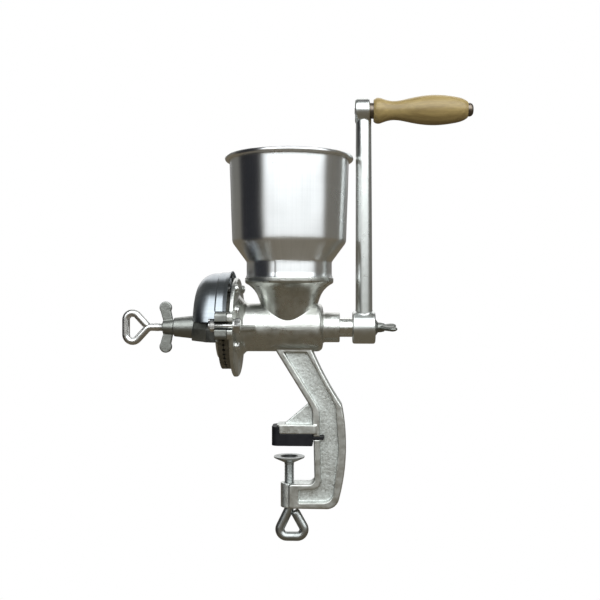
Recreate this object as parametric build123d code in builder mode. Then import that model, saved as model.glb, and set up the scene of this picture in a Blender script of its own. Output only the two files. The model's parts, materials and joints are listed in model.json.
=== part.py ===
from build123d import *

import os
from math import cos, radians, sin

# Hand grain mill: a cast body with a C-clamp foot, a sheet hopper, a feed screw that turns a
# toothed burr against a fixed one, and a cranked wooden grip. Millimetres. +X runs along the main
# shaft towards the crank, +Z is up, and the origin is on the underside of the jaw's rubber pad,
# on the clamp screw's axis, where the mill stands on the edge of a table.

# ---------------------------------------------------------------- driving dimensions
SHAFT_Z = 120.2  # height of the main shaft above the table
CRANK_RADIUS = 222.0  # main shaft to grip axis
RUNNING = 0.1  # radial clearance of a turning or sliding fit
SLIP = 0.05  # clearance of a fit that is bolted up

# barrel, flange and rear bearing of the casting
BARREL_R = 24.8
BORE_R = 20.0
BARREL_END_X = 34.0
BEARING_X = 25.5  # where the bearing bore starts, inside the barrel
BEARING_R = 15.4
BEARING_END_X = 52.0
SHAFT_R = 9.8
FLANGE_R = 51.0
FLANGE_X = -56.5  # the face that carries the fixed burr
FLANGE_BACK_X = -51.6
BURR_SEAT_DEPTH = 1.5

# ears at the front and back of the flange, where the adjusting yoke is bolted on
EAR_INNER_Y = 44.5
EAR_END_Y = 64.0
EAR_Z = 123.4
EAR_H = 26.5
EAR_BACK_X = -50.4
YOKE_EAR_X = -68.1
BOLT_Y = 56.8
BOLT_R = 3.1
SLOT_W = 7.6

# feed throat and hopper
LEDGE_Z = 171.0
LEDGE_R = 45.5
SPIGOT_R = 42.9
SPIGOT_TOP_Z = 184.0
WAIST_R = 31.4
WAIST_Z = 150.0
SHEET = 0.8
HOPPER_NECK_TOP_Z = 187.5
HOPPER_WALL_Z = 207.5
HOPPER_WALL_R = 58.1
HOPPER_RIM_Z = 293.0
HOPPER_TOP_R = 61.0
BEAD_R = 2.5

# clamp frame
JAW_W = 27.0
JAW_TIP_X = -12.2
JAW_TOP_Z = 21.3
RUBBER_T = 12.4
RUBBER_TIP_X = -17.4
BOOT_TOP_Z = 19.4
FRAME_W = 24.0
WEB_T = 8.0
FOOT_TOP_Z = -39.2
FOOT_BASE_Z = -64.2
FOOT_BOSS_R = 8.8
TONGUE_Z = (6.2, 9.6)
TONGUE_END_X = 35.8
LEG_X = 25.4  # inner side of the leg below the jaw

# clamp screw, drawn in its closed position
CLAMP_SCREW_R = 5.0
CLAMP_WIRE_R = 4.8
PAD_TOP_Z = -12.4
PAD_R = 15.8
PAD_BASE_Z = -18.5
PAD_STEM_R = 3.0

# burrs and their carrier
BURR_R = 43.0
BURR_HOLE_R = 20.5
FIXED_FACE_X = -62.4
BURR_GAP = 0.6
TURNING_BACK_X = -68.4
TOOTH_DEPTH = 1.1
CARRIER_R = 34.0
CARRIER_FACE_X = -65.4
CARRIER_BACK_X = -72.4
HUB_R = 14.0
HUB_BACK_X = -78.4
SHAFT_TIP_X = -82.0
STUB_R = 8.0
BALL_R = 4.75
BALL_X = -84.4

# adjusting screw and yoke
ADJUST_R = 4.2
ADJUST_WIRE_R = 4.0
ADJUST_TIP_X = -87.4
NOSE_X = -119.4
NOSE_R = 9.7
NOSE_BACK_X = -92.0
WING_NUT_X = (-131.2, -119.6)

# crank and grip
CRANK_X = (64.8, 88.4)
CRANK_BOSS_R = 16.8
SQUARE = 13.0
ARM_X = 76.8
GRIP_Z = SHAFT_Z + CRANK_RADIUS
TOP_BOSS_X = (67.6, 82.7)
TOP_BOSS_R = 12.5
GRIP_X = (86.6, 182.0)
GRIP_BOLT_R = 3.0

SHAFT_AXIS = Axis((0, 0, SHAFT_Z), (1, 0, 0))
GRIP_AXIS = Axis((0, 0, GRIP_Z), (1, 0, 0))
SIDES = (-1, 1)

os.makedirs("parts", exist_ok=True)


def save(piece, label):
    """Labels a finished piece and writes it as parts/label.step."""
    piece.label = label
    export_step(piece, f"parts/{label}.step")
    print(f"{label}: {piece.volume / 1000:.2f} cm3, valid {piece.is_valid}")


def shaft_plane(x):
    """The plane across the main shaft at x, facing +X; its own x is +Y and its own y is +Z."""
    return Plane(origin=(x, 0, SHAFT_Z), x_dir=(0, 1, 0), z_dir=(1, 0, 0))


def grip_plane(x):
    """The same plane on the grip's axis."""
    return Plane(origin=(x, 0, GRIP_Z), x_dir=(0, 1, 0), z_dir=(1, 0, 0))


def bolt_plane(x, side):
    """The same plane on the axis of a yoke bolt, at the front (side -1) or the back (side 1)."""
    return Plane(origin=(x, side * BOLT_Y, EAR_Z), x_dir=(0, 1, 0), z_dir=(1, 0, 0))


def on_circle(radius, angles):
    """Points at these angles on a circle, as (x, y) of the sketch."""
    return [(radius * cos(radians(a)), radius * sin(radians(a))) for a in angles]


# ---------------------------------------------------------------- casting
BURR_SCREW_CIRCLE = 38.0
BURR_SCREW_ANGLES = (28, 152, 208, 332)
SHIELD_SCREW_CIRCLE = 46.5
SHIELD_SCREW_ANGLES = (58, 122)
SCREW_BOSS_X = -49.4
SCREW_R = 2.4
GUSSET_T = 5.0
JAW_RIB_T = 7.0

with BuildPart() as mill_body:
    # clamp frame: an I-section from the barrel round to the foot
    with BuildSketch(Plane.XZ) as frame_outline:
        with BuildLine():
            inside = FilletPolyline(
                (-17, 103),
                (23.8, 37),
                (24.2, 16),
                (LEG_X, 5),
                (LEG_X + 1, FOOT_TOP_Z),
                (0, FOOT_TOP_Z),
                (0, FOOT_BASE_Z),
                (49, FOOT_BASE_Z),
                (53.8, -44),
                radius=(14, 10, 10, 6.5, 3, 3, 13),
            )
            back = ThreePointArc(inside @ 1, (58.4, -3), (54.2, 41))
            shoulder = ThreePointArc(back @ 1, (36.4, 71), (24, 97))
            Polyline(shoulder @ 1, (22, 103), inside @ 0)
        make_face()
    extrude(amount=FRAME_W / 2, both=True)
    chamfer(mill_body.faces().filter_by(Axis.Y).edges(), 1)
    for side in SIDES:
        with BuildSketch(Plane.XZ.offset(side * WEB_T / 2)) as pocket:
            with BuildLine():
                FilletPolyline(
                    (-5, 95),
                    (31, 37),
                    (33, FOOT_TOP_Z - 5.5),
                    (10, FOOT_TOP_Z - 5.5),
                    (10, FOOT_BASE_Z + 6),
                    (44.5, FOOT_BASE_Z + 6.5),
                    (51, -3),
                    (47.5, 42),
                    (18.5, 95),
                    radius=(14, 9, 2, 2, 11, 60, 14),
                )
                Line((18.5, 95), (-5, 95))
            make_face()
        extrude(amount=side * FRAME_W, mode=Mode.SUBTRACT)

    # barrel, plate flange and rear bearing, turned about the shaft
    with BuildSketch(Plane.XZ) as barrel_profile:
        with BuildLine():
            lathe = FilletPolyline(
                (FLANGE_X, SHAFT_Z),
                (FLANGE_X, SHAFT_Z + FLANGE_R),
                (FLANGE_BACK_X, SHAFT_Z + FLANGE_R),
                (FLANGE_BACK_X, SHAFT_Z + 33),
                (-44, SHAFT_Z + BARREL_R),
                (BARREL_END_X, SHAFT_Z + BARREL_R),
                (BARREL_END_X + 1, SHAFT_Z + BEARING_R),
                (BEARING_END_X, SHAFT_Z + BEARING_R),
                (BEARING_END_X, SHAFT_Z),
                radius=(0.8, 2.2, 4, 4, 6, 2, 1.2),
            )
            Line(lathe @ 1, lathe @ 0)
        make_face()
    revolve(axis=SHAFT_AXIS)

    # feed throat: ledge and spigot for the hopper above a waisted funnel
    with BuildSketch(Plane.XZ) as throat_profile:
        with BuildLine():
            Polyline((0, SPIGOT_TOP_Z), (0, SHAFT_Z), (21, SHAFT_Z), (WAIST_R, WAIST_Z))
            waist = ThreePointArc((WAIST_R, WAIST_Z), (35.6, 158), (LEDGE_R - 1, 165.2))
            Polyline(
                waist @ 1,
                (LEDGE_R, 166.5),
                (LEDGE_R, LEDGE_Z),
                (SPIGOT_R, LEDGE_Z),
                (SPIGOT_R, SPIGOT_TOP_Z),
                (0, SPIGOT_TOP_Z),
            )
        make_face()
    revolve(axis=Axis.Z)

    # ears for the adjusting yoke, and the ribs that back them
    for side in SIDES:
        with BuildSketch(Plane.YZ.offset(FLANGE_X)) as ear:
            with Locations((side * (EAR_END_Y + 36) / 2, EAR_Z)):
                RectangleRounded(EAR_END_Y - 36, EAR_H, 5)
        extrude(amount=EAR_BACK_X - FLANGE_X)
        with BuildSketch(Plane.XY.offset(SHAFT_Z - GUSSET_T / 2)) as gusset:
            Polygon(
                (EAR_BACK_X - 3, side * 47),
                (EAR_BACK_X + 1, side * 47),
                (-31, side * 23.5),
                (-31, side * 18),
                (EAR_BACK_X - 3, side * 18),
                align=None,
            )
        extrude(amount=GUSSET_T)
    with BuildSketch(shaft_plane(FLANGE_X + 2)) as screw_bosses:
        with Locations(*on_circle(BURR_SCREW_CIRCLE, BURR_SCREW_ANGLES)):
            Circle(5.2)
        with Locations(*on_circle(SHIELD_SCREW_CIRCLE, SHIELD_SCREW_ANGLES)):
            Circle(4.4)
    extrude(amount=SCREW_BOSS_X - FLANGE_X - 2)

    # upper jaw with the rib above it, and the screw boss of the foot
    with BuildSketch(Plane.XY.offset(RUBBER_T)) as jaw:
        with Locations(((JAW_TIP_X + 30) / 2, 0)):
            RectangleRounded(30 - JAW_TIP_X, JAW_W, 4.5)
    extrude(amount=JAW_TOP_Z - RUBBER_T)
    with BuildSketch(Plane.XZ) as jaw_rib:
        Polygon((-6, JAW_TOP_Z - 1), (30, JAW_TOP_Z - 1), (30, 40), (20.5, 43), align=None)
    extrude(amount=JAW_RIB_T / 2, both=True)
    with BuildSketch(Plane.XY.offset(FOOT_BASE_Z)) as foot_boss:
        Circle(FOOT_BOSS_R)
    extrude(amount=FOOT_TOP_Z - FOOT_BASE_Z)

    # hollows: the funnel, the feed screw's bore, the shaft bearing, the burr's seat
    with BuildSketch(Plane.XZ) as funnel:
        Polygon(
            (0, SPIGOT_TOP_Z + 1),
            (40.4, SPIGOT_TOP_Z + 1),
            (39.6, 174),
            (26, 155),
            (19, 143),
            (19, SHAFT_Z),
            (0, SHAFT_Z),
            align=None,
        )
    revolve(axis=Axis.Z, mode=Mode.SUBTRACT)
    with BuildSketch(shaft_plane(FLANGE_X - 1)) as bore:
        Circle(BORE_R)
    extrude(amount=BEARING_X - FLANGE_X + 1, mode=Mode.SUBTRACT)
    with BuildSketch(shaft_plane(BEARING_X - 1)) as bearing_bore:
        Circle(SHAFT_R + RUNNING)
    extrude(amount=BEARING_END_X - BEARING_X + 2, mode=Mode.SUBTRACT)
    with BuildSketch(shaft_plane(FLANGE_X - 1)) as burr_seat:
        Circle(BURR_R + SLIP)
    extrude(amount=BURR_SEAT_DEPTH + 1, mode=Mode.SUBTRACT)
    # screw holes, the yoke bolts' open slots, the tongue's slot and the clamp screw's bore
    with BuildSketch(shaft_plane(FLANGE_X - 1)) as screw_holes:
        with Locations(*on_circle(BURR_SCREW_CIRCLE, BURR_SCREW_ANGLES)):
            Circle(SCREW_R + SLIP)
        with Locations(*on_circle(SHIELD_SCREW_CIRCLE, SHIELD_SCREW_ANGLES)):
            Circle(SCREW_R + SLIP)
    extrude(amount=SCREW_BOSS_X - FLANGE_X + 2, mode=Mode.SUBTRACT)
    for side in SIDES:
        with BuildSketch(bolt_plane(FLANGE_X - 1, side)) as bolt_slot:
            with Locations((side * 10, 0)):
                SlotOverall(2 * (10 + SLOT_W / 2), SLOT_W)
        extrude(amount=EAR_BACK_X - FLANGE_X + 2, mode=Mode.SUBTRACT)
    with BuildSketch(Plane.XZ) as tongue_slot:
        with Locations(((LEG_X - 5 + TONGUE_END_X) / 2, sum(TONGUE_Z) / 2)):
            Rectangle(TONGUE_END_X + 5 - LEG_X + SLIP, TONGUE_Z[1] - TONGUE_Z[0] + 2 * SLIP)
    extrude(amount=FRAME_W, both=True, mode=Mode.SUBTRACT)
    with BuildSketch(Plane.XY.offset(FOOT_BASE_Z - 1)) as clamp_bore:
        Circle(CLAMP_SCREW_R + RUNNING)
    extrude(amount=FOOT_TOP_Z - FOOT_BASE_Z + 2, mode=Mode.SUBTRACT)
save(mill_body.part, "mill_body")

# ---------------------------------------------------------------- rubber jaw pad
with BuildPart() as rubber_pad:
    with BuildSketch() as slab:
        with Locations(((RUBBER_TIP_X + 30) / 2, 0)):
            RectangleRounded(30 - RUBBER_TIP_X, JAW_W, 6.5)
    extrude(amount=BOOT_TOP_Z)
    # the jaw fills the boot, and the pad ends at the leg
    with BuildSketch(Plane.XY.offset(RUBBER_T)) as jaw_room:
        with Locations(((JAW_TIP_X + 32) / 2, 0)):
            RectangleRounded(32 - JAW_TIP_X + 2 * SLIP, JAW_W + 2 * SLIP, 4.5)
    extrude(amount=BOOT_TOP_Z, mode=Mode.SUBTRACT)
    split(bisect_by=Plane.YZ.offset(24.4), keep=Keep.BOTTOM)
    with BuildSketch(Plane.XZ) as tongue:
        with Locations(((20 + TONGUE_END_X) / 2, sum(TONGUE_Z) / 2)):
            Rectangle(TONGUE_END_X - 20, TONGUE_Z[1] - TONGUE_Z[0])
    extrude(amount=FRAME_W / 2 - 0.3, both=True)
save(rubber_pad.part, "rubber_pad")

# ---------------------------------------------------------------- hopper
with BuildPart() as hopper:
    with BuildSketch(Plane.XZ) as hopper_section:
        with BuildLine() as wall:
            neck_r = SPIGOT_R + RUNNING + SHEET / 2
            FilletPolyline(
                (neck_r, LEDGE_Z + RUNNING),
                (neck_r, HOPPER_NECK_TOP_Z),
                (HOPPER_WALL_R, HOPPER_WALL_Z),
                (HOPPER_TOP_R, HOPPER_RIM_Z),
                radius=(4, 8),
            )
        trace(line_width=SHEET)
        with Locations((HOPPER_TOP_R + BEAD_R, HOPPER_RIM_Z)):
            Circle(BEAD_R)
    revolve(axis=Axis.Z)
save(hopper.part, "hopper")

# ---------------------------------------------------------------- fixed burr and its screws
with BuildPart() as stationary_burr:
    with BuildSketch(shaft_plane(FIXED_FACE_X)) as fixed_blank:
        Circle(BURR_R)
        Circle(BURR_HOLE_R, mode=Mode.SUBTRACT)
    extrude(amount=FLANGE_X + BURR_SEAT_DEPTH - FIXED_FACE_X)
    with BuildSketch(shaft_plane(FIXED_FACE_X)) as fixed_grooves:
        with PolarLocations((BURR_HOLE_R + BURR_R) / 2, 24):
            Rectangle(BURR_R - BURR_HOLE_R + 6, 2.4)
        with PolarLocations(38, 24, start_angle=7.5):
            Rectangle(13, 1.8)
    extrude(amount=TOOTH_DEPTH, mode=Mode.SUBTRACT)
    with BuildSketch(shaft_plane(FLANGE_X + BURR_SEAT_DEPTH)) as fixed_taps:
        with Locations(*on_circle(BURR_SCREW_CIRCLE, BURR_SCREW_ANGLES)):
            Circle(SCREW_R + SLIP)
    extrude(amount=-4.5, mode=Mode.SUBTRACT)
save(stationary_burr.part, "stationary_burr")

BURR_HEAD_T = 2.2

with BuildPart() as burr_screws:
    with BuildSketch(shaft_plane(FLANGE_X + BURR_SEAT_DEPTH - 4)) as burr_screw_shanks:
        with Locations(*on_circle(BURR_SCREW_CIRCLE, BURR_SCREW_ANGLES)):
            Circle(SCREW_R)
    extrude(amount=SCREW_BOSS_X - FLANGE_X - BURR_SEAT_DEPTH + 4)
    with BuildSketch(shaft_plane(SCREW_BOSS_X)) as burr_screw_heads:
        with Locations(*on_circle(BURR_SCREW_CIRCLE, BURR_SCREW_ANGLES)):
            Circle(4.2)
    extrude(amount=BURR_HEAD_T)
    chamfer(burr_screws.faces().sort_by(Axis.X)[-4:].edges(), 0.7)
    with BuildSketch(shaft_plane(SCREW_BOSS_X + BURR_HEAD_T)) as burr_screw_cuts:
        with Locations(*on_circle(BURR_SCREW_CIRCLE, BURR_SCREW_ANGLES)):
            Rectangle(10, 1)
    extrude(amount=-1, mode=Mode.SUBTRACT)
save(burr_screws.part, "burr_screws")

# ---------------------------------------------------------------- adjusting yoke, bolts and nuts
with BuildPart() as adjusting_yoke:
    with BuildSketch(shaft_plane(NOSE_X)) as nose_front:
        Circle(NOSE_R)
    with BuildSketch(shaft_plane(-99)) as nose_back:
        Circle(12)
    loft()
    with BuildSketch(shaft_plane(-99)) as nose_boss:
        Circle(12)
    extrude(amount=NOSE_BACK_X + 99)
    for side in SIDES:
        # each arm swings out round the turning burr, with a ridge along its outer side
        for x, inner, outer in ((-69, 45.2, 51.6), (-79, 39.5, 46.5), (-100, 0.5, 9.5)):
            with BuildSketch(Plane.YZ.offset(x)) as arm_section:
                Polygon(
                    (side * inner, 106.5),
                    (side * (outer - 1.5), 106.5),
                    (side * outer, 119),
                    (side * (outer - 3.5), 126),
                    (side * inner, 126),
                    align=None,
                )
        loft(ruled=True)
        with BuildSketch(Plane.YZ.offset(YOKE_EAR_X)) as yoke_ear:
            with Locations((side * (EAR_END_Y + EAR_INNER_Y) / 2, EAR_Z)):
                RectangleRounded(EAR_END_Y - EAR_INNER_Y, EAR_H, 4)
        extrude(amount=FLANGE_X - YOKE_EAR_X)
        with BuildSketch(Plane.YZ.offset(-69.5)) as arm_root:
            with Locations((side * 48.2, 116.5)):
                Rectangle(5.8, 19)
        extrude(amount=4)
        with BuildSketch(bolt_plane(YOKE_EAR_X - 1, side)) as yoke_slot:
            with Locations((side * 10, 0)):
                SlotOverall(2 * (10 + SLOT_W / 2), SLOT_W)
        extrude(amount=FLANGE_X - YOKE_EAR_X + 2, mode=Mode.SUBTRACT)
    with BuildSketch(shaft_plane(NOSE_X - 1)) as nose_bore:
        Circle(ADJUST_R + RUNNING)
    extrude(amount=NOSE_BACK_X - NOSE_X + 2, mode=Mode.SUBTRACT)
save(adjusting_yoke.part, "adjusting_yoke")

WASHER_T = 1.6
HEAD_T = 5.2
NUT_T = 5.0
NUT_AF = 10.0
HEAD_AF = 10.6

with BuildPart() as yoke_bolts:
    for side in SIDES:
        with BuildSketch(bolt_plane(YOKE_EAR_X - NUT_T - 1.6, side)) as bolt_shank:
            Circle(BOLT_R)
        extrude(amount=EAR_BACK_X + WASHER_T - YOKE_EAR_X + NUT_T + 1.6)
        with BuildSketch(bolt_plane(EAR_BACK_X + WASHER_T, side)) as bolt_head:
            Rectangle(HEAD_AF, HEAD_AF, rotation=45)
        extrude(amount=HEAD_T)
save(yoke_bolts.part, "yoke_bolts")

with BuildPart() as yoke_washers:
    for side in SIDES:
        with BuildSketch(bolt_plane(EAR_BACK_X, side)) as washer_ring:
            Circle(6.8)
            Circle(BOLT_R + SLIP, mode=Mode.SUBTRACT)
        extrude(amount=WASHER_T)
save(yoke_washers.part, "yoke_washers")

with BuildPart() as yoke_nuts:
    for side in SIDES:
        with BuildSketch(bolt_plane(YOKE_EAR_X - NUT_T, side)) as nut_section:
            RegularPolygon(NUT_AF / 2, 6, major_radius=False)
            Circle(BOLT_R + SLIP, mode=Mode.SUBTRACT)
        extrude(amount=NUT_T)
save(yoke_nuts.part, "yoke_nuts")

# ---------------------------------------------------------------- sheet shield over the burrs
SHIELD_EDGE_Z = 126.8
SHIELD_R = 55.6
NOSE_GAP_R = 12.8

with BuildPart() as burr_shield:
    with BuildSketch(Plane.XZ) as shield_section:
        with BuildLine():
            Line((-96.2, SHAFT_Z + NOSE_GAP_R), (-93.4, SHAFT_Z + 36))
            dome = ThreePointArc(
                (-93.4, SHAFT_Z + 36),
                (-88.2, SHAFT_Z + 49),
                (-76, SHAFT_Z + SHIELD_R - SHEET / 2),
            )
            FilletPolyline(
                dome @ 1,
                (-69.5, SHAFT_Z + SHIELD_R - SHEET / 2),
                (-68.5, SHAFT_Z + SHIELD_R + 0.5),
                (-62, SHAFT_Z + SHIELD_R + 0.5),
                (-58, SHAFT_Z + SHIELD_R + 2),
                radius=(1, 1, 4),
            )
        trace(line_width=SHEET)
    revolve(axis=SHAFT_AXIS)
    # tabs that lie on the flange, one under each shield screw
    for angle in SHIELD_SCREW_ANGLES:
        with BuildSketch(shaft_plane(FLANGE_X - SHEET)) as tab:
            with Locations(*on_circle(SHIELD_SCREW_CIRCLE + 3.2, (angle,))):
                RectangleRounded(12.4, 9, 2, rotation=angle)
        extrude(amount=SHEET)
        with BuildSketch(shaft_plane(FLANGE_X - 6)) as tab_stem:
            with Locations(*on_circle(SHIELD_R + 0.3, (angle,))):
                Rectangle(SHEET, 9, rotation=angle)
        extrude(amount=6)
        with BuildSketch(shaft_plane(FLANGE_X - 1)) as tab_hole:
            with Locations(*on_circle(SHIELD_SCREW_CIRCLE, (angle,))):
                Circle(SCREW_R + SLIP)
        extrude(amount=2, mode=Mode.SUBTRACT)
    # only the upper half is there, cut back over the ears
    split(bisect_by=Plane.XY.offset(SHIELD_EDGE_Z), keep=Keep.TOP)
    with BuildSketch(Plane.XZ) as ear_gap:
        with Locations(((-75.2 - 50) / 2, SHIELD_EDGE_Z)):
            Rectangle(25.2, 2 * (EAR_Z + EAR_H / 2 + 0.6 - SHIELD_EDGE_Z))
    extrude(amount=70, both=True, mode=Mode.SUBTRACT)
save(burr_shield.part, "burr_shield")

with BuildPart() as shield_screws:
    with BuildSketch(shaft_plane(FLANGE_X - SHEET)) as shield_shanks:
        with Locations(*on_circle(SHIELD_SCREW_CIRCLE, SHIELD_SCREW_ANGLES)):
            Circle(SCREW_R)
    extrude(amount=SCREW_BOSS_X - FLANGE_X + SHEET + 0.6)
    with BuildSketch(shaft_plane(FLANGE_X - SHEET)) as shield_heads:
        with Locations(*on_circle(SHIELD_SCREW_CIRCLE + 0.6, SHIELD_SCREW_ANGLES)):
            Circle(3.4)
    extrude(amount=-2.2)
save(shield_screws.part, "shield_screws")

# ---------------------------------------------------------------- feed screw and main shaft
FLIGHT_R = 19.0
FLIGHT_PITCH = 24.0
FLIGHT_X = (-58.0, 21.5)
FLIGHT_T = 4.0
TAP_R = 3.0
PIN_R = 2.0
PIN_X = (CARRIER_BACK_X + HUB_BACK_X) / 2

with BuildPart() as auger_shaft:
    with BuildSketch(shaft_plane(SHAFT_TIP_X)) as stub:
        Circle(STUB_R)
    extrude(amount=BEARING_X + 1 - SHAFT_TIP_X)
    with BuildSketch(shaft_plane(BEARING_X + 0.6)) as journal:
        Circle(SHAFT_R)
    extrude(amount=CRANK_X[0] - BEARING_X - 0.6)
    with BuildSketch(shaft_plane(CRANK_X[0])) as square_end:
        Rectangle(SQUARE, SQUARE)
    extrude(amount=CRANK_X[1] - CRANK_X[0] - 0.6)
    # the flight, one rib wound round the shaft
    with BuildLine():
        flight_path = Helix(
            FLIGHT_PITCH,
            FLIGHT_X[1] - FLIGHT_X[0],
            STUB_R,
            center=(FLIGHT_X[0], 0, SHAFT_Z),
            direction=(1, 0, 0),
        )
    outward = flight_path @ 0 - Vector(FLIGHT_X[0], 0, SHAFT_Z)
    with BuildSketch(Plane(flight_path @ 0, x_dir=outward, z_dir=flight_path % 0)) as flight_section:
        with Locations(((FLIGHT_R - STUB_R) / 2 - 0.5, 0)):
            Rectangle(FLIGHT_R - STUB_R + 1, FLIGHT_T)
    sweep(path=flight_path, is_frenet=True)
    # centre hole that seats the thrust ball, the carrier pin's hole, the wing screw's tapped hole
    centre_x = BALL_X + (BALL_R + RUNNING) * 2**0.5
    with BuildSketch(Plane.XZ) as centre_hole:
        Polygon(
            (centre_x, SHAFT_Z),
            (SHAFT_TIP_X - 1, SHAFT_Z),
            (SHAFT_TIP_X - 1, SHAFT_Z + centre_x - SHAFT_TIP_X + 1),
            align=None,
        )
    revolve(axis=SHAFT_AXIS, mode=Mode.SUBTRACT)
    with BuildSketch(Plane(origin=(PIN_X, 0, SHAFT_Z - 20), z_dir=(0, 0, 1))) as pin_hole:
        Circle(PIN_R + SLIP)
    extrude(amount=40, mode=Mode.SUBTRACT)
    with BuildSketch(shaft_plane(CRANK_X[1])) as tap:
        Circle(TAP_R + RUNNING)
    extrude(amount=-24, mode=Mode.SUBTRACT)
save(auger_shaft.part, "auger_shaft")

# ---------------------------------------------------------------- turning burr on its carrier
DRIVE_PIN_CIRCLE = 28.0
DRIVE_PIN_ANGLES = (0, 120, 240)
DRIVE_PIN_R = 2.5

with BuildPart() as rotating_burr:
    with BuildSketch(shaft_plane(TURNING_BACK_X)) as turning_blank:
        Circle(BURR_R)
        Circle(STUB_R + 3, mode=Mode.SUBTRACT)
    extrude(amount=FIXED_FACE_X - BURR_GAP - TURNING_BACK_X)
    with BuildSketch(shaft_plane(TURNING_BACK_X)) as carrier_recess:
        Circle(CARRIER_R + SLIP)
    extrude(amount=CARRIER_FACE_X - TURNING_BACK_X, mode=Mode.SUBTRACT)
    with BuildSketch(shaft_plane(FIXED_FACE_X - BURR_GAP)) as turning_grooves:
        with PolarLocations((BURR_HOLE_R + BURR_R) / 2, 24):
            Rectangle(BURR_R - BURR_HOLE_R + 6, 2.4)
        with PolarLocations(38, 24, start_angle=7.5):
            Rectangle(13, 1.8)
    extrude(amount=-TOOTH_DEPTH, mode=Mode.SUBTRACT)
    with BuildSketch(shaft_plane(CARRIER_FACE_X)) as drive_holes:
        with Locations(*on_circle(DRIVE_PIN_CIRCLE, DRIVE_PIN_ANGLES)):
            Circle(DRIVE_PIN_R + SLIP)
    extrude(amount=1.2, mode=Mode.SUBTRACT)
save(rotating_burr.part, "rotating_burr")

with BuildPart() as burr_carrier:
    with BuildSketch(shaft_plane(CARRIER_BACK_X)) as carrier_plate:
        Circle(CARRIER_R)
    extrude(amount=CARRIER_FACE_X - CARRIER_BACK_X)
    chamfer(burr_carrier.faces().sort_by(Axis.X)[0].edges(), 2.5)
    with BuildSketch(shaft_plane(HUB_BACK_X)) as hub:
        Circle(HUB_R)
    extrude(amount=CARRIER_BACK_X - HUB_BACK_X)
    with BuildSketch(shaft_plane(HUB_BACK_X)) as hub_bore:
        Circle(STUB_R + SLIP)
    extrude(amount=CARRIER_FACE_X - HUB_BACK_X, mode=Mode.SUBTRACT)
    with BuildSketch(Plane(origin=(PIN_X, 0, SHAFT_Z - 20), z_dir=(0, 0, 1))) as carrier_pin_hole:
        Circle(PIN_R + SLIP)
    extrude(amount=40, mode=Mode.SUBTRACT)
    with BuildSketch(shaft_plane(CARRIER_BACK_X)) as carrier_drive_holes:
        with Locations(*on_circle(DRIVE_PIN_CIRCLE, DRIVE_PIN_ANGLES)):
            Circle(DRIVE_PIN_R + SLIP)
    extrude(amount=CARRIER_FACE_X - CARRIER_BACK_X, mode=Mode.SUBTRACT)
save(burr_carrier.part, "burr_carrier")

with BuildPart() as burr_drive_pins:
    with BuildSketch(shaft_plane(CARRIER_BACK_X)) as drive_pin_sections:
        with Locations(*on_circle(DRIVE_PIN_CIRCLE, DRIVE_PIN_ANGLES)):
            Circle(DRIVE_PIN_R)
    extrude(amount=CARRIER_FACE_X - CARRIER_BACK_X + 1)
save(burr_drive_pins.part, "burr_drive_pins")

with BuildPart() as carrier_pin:
    with BuildSketch(Plane(origin=(PIN_X, 0, SHAFT_Z - HUB_R - 1), z_dir=(0, 0, 1))) as pin_section:
        Circle(PIN_R)
    extrude(amount=2 * HUB_R + 2)
save(carrier_pin.part, "carrier_pin")

with BuildPart() as thrust_ball:
    with Locations((BALL_X, 0, SHAFT_Z)):
        Sphere(BALL_R)
save(thrust_ball.part, "thrust_ball")

# ---------------------------------------------------------------- adjusting screw and its lock nut
# The rod's end is bent into a three-cornered ring, and its cut end comes back against the shank.
RING_X = -170.2
RING_APEX_X = -146.5
RING_CORNER_Z = 25.5
WING_T = 4.6
WING_TIP_R = 6.4
WING_LEAN = 3.0

with BuildPart() as adjusting_screw:
    with BuildLine(Plane.XZ) as ring_path:
        FilletPolyline(
            (-139, SHAFT_Z),
            (RING_APEX_X, SHAFT_Z),
            (RING_X, SHAFT_Z - RING_CORNER_Z),
            (RING_X, SHAFT_Z + RING_CORNER_Z),
            (-150.2, SHAFT_Z + 3.6),
            radius=(7, 7, 7),
        )
    with BuildSketch(shaft_plane(-139)) as ring_wire:
        Circle(ADJUST_WIRE_R)
    sweep()
    with BuildSketch(shaft_plane(-141)) as adjust_shank:
        Circle(ADJUST_R)
    extrude(amount=ADJUST_TIP_X + 141)
    with Locations((BALL_X, 0, SHAFT_Z)):
        Sphere(BALL_R + RUNNING, mode=Mode.SUBTRACT)
save(adjusting_screw.part, "adjusting_screw")

with BuildPart() as lock_wing_nut:
    with BuildSketch(shaft_plane(WING_NUT_X[0])) as wing_hub:
        Circle(6.8)
    with BuildSketch(shaft_plane(WING_NUT_X[1])) as wing_hub_base:
        Circle(7.9)
    loft()
    hub_x = sum(WING_NUT_X) / 2
    for side in SIDES:
        tip = (hub_x - WING_LEAN, SHAFT_Z + side * 20.2)
        with BuildSketch(Plane.XZ) as wing:
            Polygon(
                (hub_x - 4.6, SHAFT_Z + side * 4),
                (hub_x + 5.2, SHAFT_Z + side * 4),
                (tip[0] + 5.4, tip[1] - side * 2),
                (tip[0] - 5.8, tip[1] - side * 2),
                align=None,
            )
            with Locations(tip):
                Circle(WING_TIP_R)
        extrude(amount=WING_T / 2, both=True)
    with BuildSketch(shaft_plane(WING_NUT_X[0] - 1)) as wing_bore:
        Circle(ADJUST_R + RUNNING)
    extrude(amount=WING_NUT_X[1] - WING_NUT_X[0] + 2, mode=Mode.SUBTRACT)
save(lock_wing_nut.part, "lock_wing_nut")

# ---------------------------------------------------------------- crank
ARM_FOOT_Z = SHAFT_Z + 9
ARM_HEAD_Z = GRIP_Z - 8

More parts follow.
